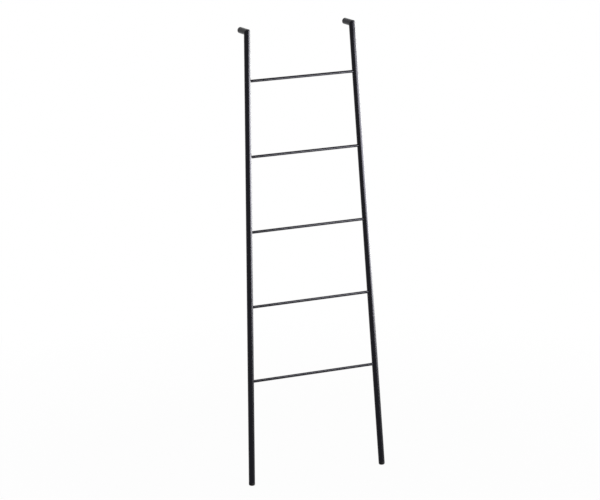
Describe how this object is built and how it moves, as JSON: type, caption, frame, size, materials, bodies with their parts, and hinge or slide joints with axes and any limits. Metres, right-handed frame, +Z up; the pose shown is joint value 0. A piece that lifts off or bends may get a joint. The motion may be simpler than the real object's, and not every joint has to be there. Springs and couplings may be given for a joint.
{
  "type": "blanket ladder",
  "caption": "Leaning ladder for hanging blankets: two splayed round tube legs, thin round rungs, short arms to the wall, rubber feet and wall caps.",
  "frame": {"origin": "on the floor, at the middle of the footprint of the leaning ladder", "axes": "+Z up, +Y towards the wall, +X to the right as seen from the room"},
  "size_m": [0.5396, 0.1744, 1.5961],
  "materials": {
    "black_coat": "satin black powder coat",
    "black_rubber": "matte",
    "black_screws": "satin black oxide"
  },
  "bodies": {
    "root": {"leg_left": "black_coat", "arm_left": "black_coat", "foot_left": "black_rubber", "wall_cap_left": "black_rubber", "rung_screw_left_1": "black_screws", "rung_screw_left_2": "black_screws", "rung_screw_left_3": "black_screws", "rung_screw_left_4": "black_screws", "rung_screw_left_5": "black_screws", "leg_right": "black_coat", "arm_right": "black_coat", "foot_right": "black_rubber", "wall_cap_right": "black_rubber", "rung_screw_right_1": "black_screws", "rung_screw_right_2": "black_screws", "rung_screw_right_3": "black_screws", "rung_screw_right_4": "black_screws", "rung_screw_right_5": "black_screws", "rung_1": "black_coat", "rung_2": "black_coat", "rung_3": "black_coat", "rung_4": "black_coat", "rung_5": "black_coat"}
  },
  "joints": []
}
